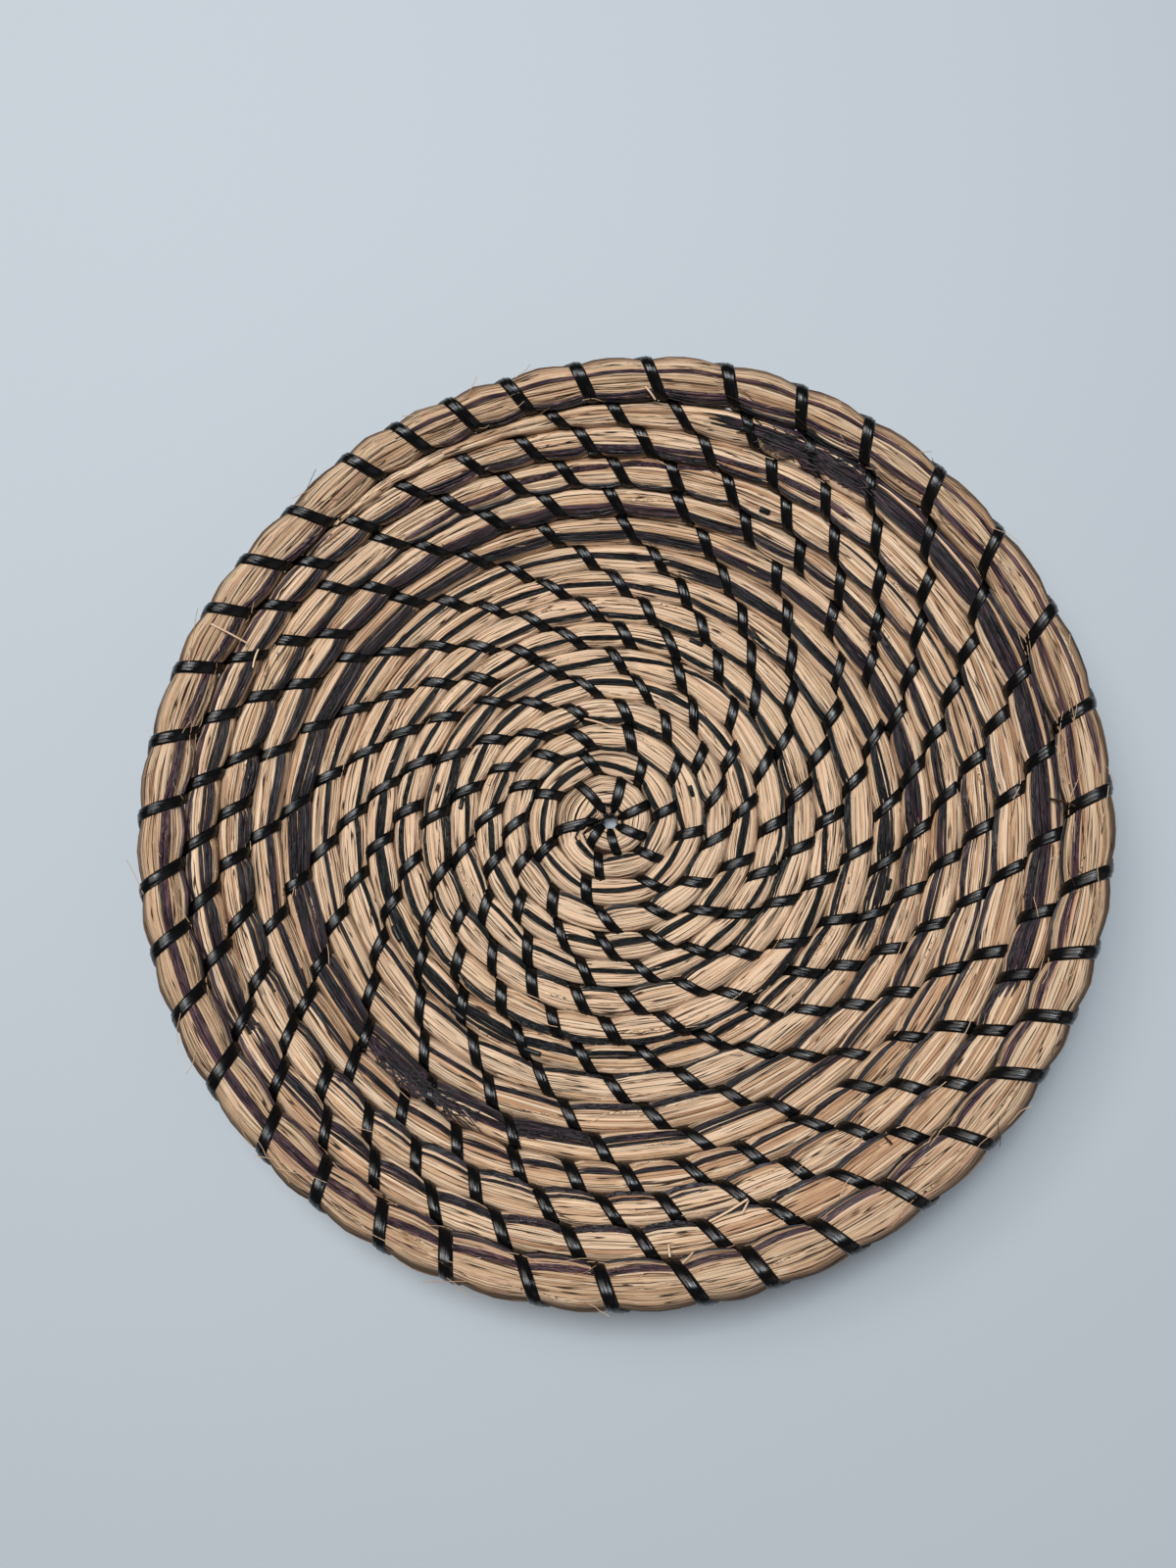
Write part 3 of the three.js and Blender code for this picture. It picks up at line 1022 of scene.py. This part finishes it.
# Other dark stalks: the rounds between which they lie, their places at both ends, their breadth
# in millimetres and their tone, from greenish black at 0 to purple brown at 1
sideRuns = [
    (5.70, 6.00, 0.75, 0.85, 1.3, 0.05), (8.00, 8.10, 0.85, 0.70, 1.2, 0.10),
    (9.33, 9.62, 0.55, 0.30, 3.0, 0.30), (10.40, 10.62, 0.55, 0.40, 2.6, 0.60),
    (10.78, 11.16, 0.25, 0.30, 3.2, 0.55), (11.62, 11.82, 0.40, 0.40, 2.6, 0.95),
    (12.30, 12.55, 0.85, 0.75, 0.8, 0.40), (12.61, 12.76, 0.90, 0.35, 1.6, 0.80),
    (12.78, 12.99, 0.20, 0.45, 1.6, 0.45), (13.02, 13.20, 0.45, 0.30, 1.0, 0.45),
    (13.55, 13.76, 0.55, 0.20, 1.6, 0.90), (13.78, 14.02, 0.85, 0.90, 1.2, 0.80),
    (14.00, 14.20, 0.30, 0.25, 1.0, 0.55), (14.34, 14.62, 0.50, 0.62, 3.6, 0.55),
    (14.40, 14.60, 0.88, 0.90, 1.4, 0.70),
]
rimRuns = [
    (14.90, 15.16, 0.10, 0.12, 1.2, 0.80), (15.10, 15.50, 0.05, 0.06, 1.0, 0.50),
    (15.42, 15.74, 0.85, 0.70, 1.2, 0.95), (15.56, 15.72, 0.10, 0.14, 1.8, 0.40),
]
darkStalks = {
    "marksPerRound": 4,
    "startsAt": 0.3,
    "rimReach": (0.03, 0.98),
    "stalkBreadth": 0.0011,
    "bulk": 0.0014,
    "proud": 0.0006,
    "overlap": 1.3,
    "wander": 0.3,
    "straggleShare": 0.35,
    "outwardGain": 1.25,
    "gainRounds": (6, 12),
    "taper": 0.35,
    "samples": 16,
    "greenTone": 0.05,
    "purpleTone": 0.5,
    "purpleRounds": (6, 11),
    "rimTone": 0.9,
    # The wider spread lets more dark stalks reach the lightest tones, which are partly a painted highlight
    "toneSpread": 0.5,
    "seed": 11,
    "material": darkStalk,
}


def phaseOf(stitches, rounds):
    passed = (index for index, stitch in enumerate(stitches) if stitch[0] > rounds)
    low = max(next(passed, len(stitches) - 1) - 1, 0)
    return low + (rounds - stitches[low][0]) / (stitches[low + 1][0] - stitches[low][0])


def markedAt(marks, rounds):
    mark = max(rounds * darkStalks["marksPerRound"], 0)
    low = min(math.floor(mark), len(marks) - 2)
    share = ease(mark - low, 0, 1)
    return [blendOf(here, ahead, share) for here, ahead in zip(marks[low], marks[low + 1])]


# Seat and span of a band on the coil's top, from its place across the coil and half its width
def bandAround(where, half):
    seat = angleAt(min(where + half, 0.99))
    return seat, angleAt(max(where - half, 0.01)) - seat


def growDark(name, bundle, start, end, laidAt, tone, ends=True, nodes=()):
    own = darkStalks
    shares = [step / own["samples"] for step in range(own["samples"] + 1)]
    broadest = max(laidAt(blendOf(start, end, share))[1] for share in shares) / 1000
    broadened = blendOf(1, own["outwardGain"], ease(start, *own["gainRounds"]))
    count = max(1, round(broadest / own["stalkBreadth"]))
    roundWidth = bundle["roundWidth"] + bundle["widthGain"] * start

    def bandOf(rounds):
        where, breadth = laidAt(rounds)
        return *bandAround(where, breadth * broadened / 2000 / roundWidth), breadth / 1000 / broadest

    first, last = phaseOf(bundle["stitches"], start), phaseOf(bundle["stitches"], end)
    line = bundleLine(bundle, first, last, bandOf, own["taper"] if ends else 0)
    sizes = {**bundle, **own, "stalks": count, "width": broadest / count * own["overlap"],
             "straggle": bundle["straggle"] * own["straggleShare"], "tone": tone}
    settle(grow(name, [line], stalkTree, sizes), "dark_stalk", *nodes)


def growRuns(prefix, bundle, runs):
    for number, (start, end, first, second, breadth, tone) in enumerate(runs, 1):
        def laidAt(rounds):
            return blendOf(first, second, ease(rounds, start, end)), breadth

        growDark(f"{prefix}_{number:02d}", bundle, start, end, laidAt, tone)


# The solids have only the broadest lengths of these stripes, numbered by where they lie
standsFor = {4: (1,), 5: (2,), 6: (3,), 7: (3,), 8: (4,), 9: (5,), 10: (6, 7), 11: (7, 8), 12: (9,),
             14: (10,)}
for number in range(lastRound + 1):
    start = max(number, darkStalks["startsAt"])
    end = min(number + 1, bowl["coilRounds"] - bowl["taperRounds"])
    purple = ease(number, *darkStalks["purpleRounds"])
    tone = blendOf(darkStalks["greenTone"], darkStalks["purpleTone"], purple)
    growDark(f"dark_stripe_{number + 1:02d}", coilBundle, start, end,
             lambda rounds: markedAt(stripeMarks, rounds), tone, number in (0, lastRound),
             [f"dark_stalk_{solid:02d}" for solid in standsFor.get(number, ())])
growRuns("dark_run", coilBundle, sideRuns)
start, end = (bowl["coilRounds"] + share for share in darkStalks["rimReach"])
growDark("dark_stripe_rim", rimBundle, start, end,
         lambda rounds: markedAt(rimMarks, rounds - bowl["coilRounds"]), darkStalks["rimTone"],
         nodes=["rim_dark_stalk"])
growRuns("dark_run_rim", rimBundle, rimRuns)
print("dark stalks laid")


# Loose slats lie slightly across the bundle, one stalk wide
slats = {
    "onCoil": 150,
    "coilReach": (1.2, lastRound),
    "aroundRim": 44,
    "rimReach": (bowl["coilRounds"] + 0.05, bowl["coilRounds"] + 0.9),
    "lengths": (0.4, 1.5),
    "breadths": (0.0007, 0.0017),
    "places": (0.12, 0.88),
    "kept": (0.08, 0.92),
    "sway": 0.16,
    "taper": 0.25,
    "stalks": 1,
    "bulk": 0.0005,
    "proud": 0.0005,
    "wander": 0.2,
    "seed": 14,
}


def looseSlats(name, bundle, count, reach, node):
    stitches = bundle["stitches"]
    broadest = slats["breadths"][1]
    lines = []
    for index in range(count):
        start = blendOf(*reach, math.sqrt(random.random()))
        first = phaseOf(stitches, start)
        last = first + random.uniform(*slats["lengths"])
        end = stitchAt(stitches, last, 0)
        breadth = random.uniform(*slats["breadths"])
        here = random.uniform(*slats["places"])
        low, high = slats["kept"]
        there = min(max(here + random.uniform(-1, 1) * slats["sway"], low), high)

        def bandOf(rounds):
            where = blendOf(here, there, ease(rounds, start, end))
            return *bandAround(where, breadth / 2 / bundle["roundWidth"]), breadth / broadest

        lines.append(bundleLine(bundle, first, last, bandOf, slats["taper"]))
    settle(grow(name, lines, stalkTree, {**bundle, **slats, "width": broadest}), bundle["slot"], node)


# Stray fibres stand off the bundle, mostly at its sides, and over the rim's outer side
fibres = {
    "onCoil": 240,
    "coilReach": (1.5, bowl["coilRounds"] - 0.3),
    "aroundRim": 150,
    "rimReach": (bowl["coilRounds"] + 0.02, bowl["coilRounds"] + 0.98),
    "innerPlaces": (0.02, 0.2),
    "outerPlaces": (0.8, 0.98),
    "radius": 0.00011,
    "lengths": (0.005, 0.016),
    "sway": 0.35,
    "curl": 0.05,
    "foot": 0.0004,
    "lift": 0.0022,
    "overhang": 0.0055,
    "steps": 6,
}
# Tangles of dark fibres: rounds, place across the coil, how many
tangles = [(11.07, 0.75, 120), (14.58, 0.55, 130)]
tangled = {
    "radius": 0.00022,
    "lengths": (0.004, 0.014),
    "alongCoil": (-0.022, 0.022),
    "acrossCoil": (-0.25, 0.2),
    "sway": 0.5,
    "lift": 0.0012,
}


def pointOn(bundle, rounds, where, lift):
    inner, outer = (edge(rounds) for edge in bundle["edges"])
    height = bundle["thickness"] / 2 * squared(math.sin(angleAt(where)))
    return Vector(place(blendOf(inner, outer, where), height + lift, rounds))


def fibreLine(bundle, rounds, where, length, sway, lift, overhang=0.0):
    line = []
    forward = random.choice((-1, 1)) * turnOf(length, rounds)
    curl, start = random.uniform(-1, 1), random.uniform(0, math.tau)
    tone = random.random()
    for step in range(fibres["steps"] + 1):
        share = step / fibres["steps"]
        across = where + sway * share + fibres["curl"] * curl * math.sin(start + share * 5)
        off = fibres["foot"] + lift * share * (0.4 + 0.6 * share)
        at = pointOn(bundle, rounds + forward * share, min(max(across, 0.01), 0.99), off)
        outward = Vector((at.x, at.y, 0)).normalized() * overhang * share ** 1.5
        line.append({"at": at + outward, "tone": tone})
    return line


def growFibres(name, lines, radius, material, slot):
    settle(grow(name, lines, fibreTree, {"radius": radius, "material": material}), slot)


def strayFibres(name, bundle, count, reach):
    lines = []
    outermost = fibres["outerPlaces"]
    for index in range(count):
        share = random.random() if bundle["onRim"] else math.sqrt(random.random())
        sides = random.uniform(*fibres["innerPlaces"]), random.uniform(*outermost)
        where = random.choice((*sides, random.random()))
        hangs = bundle["onRim"] and where > outermost[0]
        overhang = random.random() * fibres["overhang"] if hangs else 0
        length = random.uniform(*fibres["lengths"])
        sway = random.uniform(-fibres["sway"], fibres["sway"])
        lift = random.random() ** 2 * fibres["lift"]
        lines.append(fibreLine(bundle, blendOf(*reach, share), where, length, sway, lift, overhang))
    growFibres(name, lines, fibres["radius"], bundle["material"], bundle["slot"])


def darkTangles(name):
    lines = []
    for rounds, where, count in tangles:
        for index in range(count):
            near = rounds + random.uniform(*tangled["alongCoil"])
            across = where + random.uniform(*tangled["acrossCoil"])
            length = random.uniform(*tangled["lengths"])
            sway = random.uniform(-tangled["sway"], tangled["sway"])
            lift = random.random() * tangled["lift"]
            lines.append(fibreLine(coilBundle, near, across, length, sway, lift))
    growFibres(name, lines, tangled["radius"], darkStalk, "dark_stalk")


# Broken splinters that stand across a stitch: rounds and place at both ends, and their tone
splinters = [
    (15.652, 0.35, 15.648, 0.05, 0.45), (14.188, 0.70, 15.188, 0.05, 0.45),
    (14.196, 0.95, 15.192, 0.25, 0.55), (14.204, 0.20, 13.220, 0.90, 0.55),
    (13.220, 0.90, 14.216, 0.30, 0.57), (14.420, 0.70, 15.416, 0.35, 0.60),
    (14.844, 0.75, 13.844, 0.80, 0.62), (13.844, 0.35, 13.852, 0.25, 0.54),
    (14.276, 0.20, 14.276, 0.55, 0.85), (14.276, 0.90, 15.284, 0.05, 0.80),
    (3.708, 0.75, 3.696, 0.30, 1.00), (3.704, 0.20, 2.668, 0.80, 0.98), (0.620, 0.95, 0.576, 0.90, 0.48),
]
splinter = {"radius": 0.00038, "low": 0.0006, "high": 0.0024, "bow": 0.1, "steps": 4}


def paleSplinters(name):
    lines = []
    shares = [step / splinter["steps"] for step in range(splinter["steps"] + 1)]

    def endAt(rounds, where, lift):
        return pointOn(rimBundle if rounds > bowl["coilRounds"] else coilBundle, rounds, where, lift)

    for rounds, where, farRounds, farWhere, tone in splinters:
        start, end = endAt(rounds, where, splinter["low"]), endAt(farRounds, farWhere, splinter["high"])
        bow = Vector((0, 0, (end - start).length * splinter["bow"]))
        lines.append([{"at": start.lerp(end, share) + bow * math.sin(math.pi * share), "tone": tone}
                      for share in shares])
    growFibres(name, lines, splinter["radius"], straw, "straw")


# Hollow ends of dark stalks: rounds, place across, length and radius in millimetres
hollowEnds = [
    (2.46, 0.60, 4.0, 0.8), (4.89, 0.52, 4.5, 0.8), (6.59, 0.85, 5.0, 0.9), (7.65, 0.17, 9.0, 1.0),
    (7.99, 0.67, 6.0, 0.9), (8.057, 0.77, 6.0, 0.9), (8.11, 0.65, 6.5, 0.9), (9.375, 0.72, 4.0, 1.0),
    (11.51, 0.40, 4.5, 1.0), (12.59, 0.35, 4.0, 1.0), (13.67, 0.13, 4.0, 0.9), (14.61, 0.55, 4.0, 1.1),
]
# Their outline goes along the stub, round the lip and down the bore: share of the length, share
# of the radius
hollow = {
    "outline": [(0, 0.6), (0.12, 1.0), (0.9, 1.0), (1.0, 0.92), (1.0, 0.66), (0.6, 0.6)],
    "corners": 10,
    "sunk": 0.5,
    "raised": 1.1,
    "flatness": 0.8,
}


def hollowStalks(name):
    corners = hollow["corners"]
    turns = [math.tau * corner / corners for corner in range(corners)]
    shapes = bmesh.new()
    for rounds, where, length, radius in hollowEnds:
        length, radius = length / 1000, radius / 1000
        start = pointOn(coilBundle, rounds, where, radius * hollow["sunk"])
        axis = pointOn(coilBundle, rounds + turnOf(length, rounds), where, radius * hollow["raised"]) - start
        side = axis.cross(Vector((0, 0, 1))).normalized()
        top = side.cross(axis).normalized() * hollow["flatness"]
        ring = [(side * math.cos(turn) + top * math.sin(turn)) * radius for turn in turns]
        rings = [[shapes.verts.new(start + axis * share + corner * wide) for corner in ring]
                 for share, wide in hollow["outline"]]
        for near, far in zip(rings, rings[1:]):
            for corner in range(corners):
                after = (corner + 1) % corners
                shapes.faces.new((near[corner], near[after], far[after], far[corner]))
        shapes.faces.new(rings[0][::-1])
        shapes.faces.new(rings[-1])
    bmesh.ops.recalc_face_normals(shapes, faces=shapes.faces)
    for face in shapes.faces:
        face.smooth = True
    mesh = bpy.data.meshes.new(name)
    shapes.to_mesh(mesh)
    shapes.free()
    mesh.materials.append(darkStalk)
    settle(addObject(name, mesh), "dark_stalk")


looseSeed = 21
random.seed(looseSeed)
looseSlats("loose_slats", coilBundle, slats["onCoil"], slats["coilReach"], "upper_wall_coil")
looseSlats("loose_slats_rim", rimBundle, slats["aroundRim"], slats["rimReach"], "rim_coil")
strayFibres("stray_fibres", coilBundle, fibres["onCoil"], fibres["coilReach"])
strayFibres("stray_fibres_rim", rimBundle, fibres["aroundRim"], fibres["rimReach"])
darkTangles("dark_tangle")
paleSplinters("splinters")
hollowStalks("hollow_stalk_ends")
print("loose slats, fibres and stalk ends laid")


# The strip is narrower in the first rounds, where its stitches crowd round the hole
strip = {
    "breadth": 0.0047,
    "heartBreadth": 0.0036,
    "fullFrom": 4.0,
    "gatherShare": 0.9,
    "bulk": 0.0006,
    "crown": 0.0005,
    "rib": 0.00011,
    "off": 0.0008,
    "guideRise": 0.005,
    "topSteps": 10,
    "footSteps": 7,
    "tailShare": 0.6,
    "seed": 3,
    "rimSeed": 4,
    "material": blackStrip,
}


def stripLine(bundle, first, last):
    line = []
    run, before = 0.0, None
    low, high = bundle["edges"]
    turns = [math.pi * (1 - step / strip["topSteps"]) for step in range(strip["topSteps"])]
    turns += [-math.pi * step / strip["footSteps"] for step in range(strip["footSteps"])]
    for index in range(first, last):
        inner, outer = bundle["stitches"][index]
        following = stitchAt(bundle["stitches"], index + 1, 0)
        for angle in turns:
            if index == last - 1 and angle <= -math.pi * strip["tailShare"]:
                break
            rounds = courseRound(angle, inner, outer, following, bundle["onRim"])
            crossed = (squared(math.cos(angle)) + 1) / 2
            here = profile(blendOf(low(rounds), high(rounds), crossed))[0]
            breadth = blendOf(strip["heartBreadth"], strip["breadth"], ease(rounds, 0, strip["fullFrom"]))
            gathered = strip["gatherShare"] * math.tau * here / stitching["heartStitches"]
            along = spiralEdge(max(rounds - 0.5, 0))
            at = Vector(place(along, strip["guideRise"] * math.sin(angle), rounds))
            if before is not None:
                run += (at - before).length
            before = at
            line.append({"at": at, "rounds": rounds, "sectionAngle": angle,
                         "reach": min(breadth, gathered) / 2 / (math.tau * here),
                         "run": run, "stitch": float(index)})
    return line


def windStrip(name, bundle, first, last, node):
    sizes = {**bundle, **strip}
    if bundle["onRim"]:
        sizes["seed"] = strip["rimSeed"]
    settle(grow(name, [stripLine(bundle, first, last)], stripTree, sizes), "black_strip", node)


for number in range(lastRound + 1):
    inRound = stitchesOf(number)
    windStrip(f"strip_round_{number + 1:02d}", coilBundle, inRound[0], inRound[-1] + 1,
              f"binding_strip_{number + 1:02d}")
windStrip("rim_strip", rimBundle, 0, len(rimStitches), "rim_binding_strip")
print("strips wound")


# Floor and light
room = {
    "floorReach": 3.0,
    "floorColor": shade(180, 187, 193),
    "floorRoughness": 0.8,
    "skyColor": shade(225, 232, 240),
    "skyStrength": 0.14,
}
lamps = {
    "window": {"at": (-0.62, 0.5, 1.55), "size": 0.9, "power": 17, "color": (1, 0.97, 0.93)},
    "overhead": {"at": (-0.05, 0.35, 1.45), "size": 0.45, "power": 14, "color": (0.9, 0.95, 1)},
    "fill": {"at": (1.2, -0.8, 1.0), "size": 1.2, "power": 2, "color": (0.95, 0.97, 1)},
}


def makeFloor():
    reach = room["floorReach"]
    corners = [(-reach, -reach, 0), (reach, -reach, 0), (reach, reach, 0), (-reach, reach, 0)]
    mesh = bpy.data.meshes.new("floor")
    mesh.from_pydata(corners, [], [(0, 1, 2, 3)])
    material, tree, shader = newMaterial("paleFloor", room["floorRoughness"])
    shader.inputs["Base Color"].default_value = room["floorColor"]
    mesh.materials.append(material)
    floor = addObject("floor", mesh)


def addLamp(name, lamp):
    data = bpy.data.lights.new(name, "AREA")
    data.size = lamp["size"]
    data.energy = lamp["power"]
    data.color = lamp["color"]
    light = addObject(name, data)
    light.location = lamp["at"]
    light.rotation_euler = Vector(lamp["at"]).to_track_quat("Z", "Y").to_euler()


def makeSky():
    world = bpy.data.worlds.new("world")
    world.use_nodes = True
    background = world.node_tree.nodes["Background"]
    background.inputs["Color"].default_value = room["skyColor"]
    background.inputs["Strength"].default_value = room["skyStrength"]
    bpy.context.scene.world = world


makeFloor()
for name, lamp in lamps.items():
    addLamp(name, lamp)
makeSky()
print("floor and lights set")
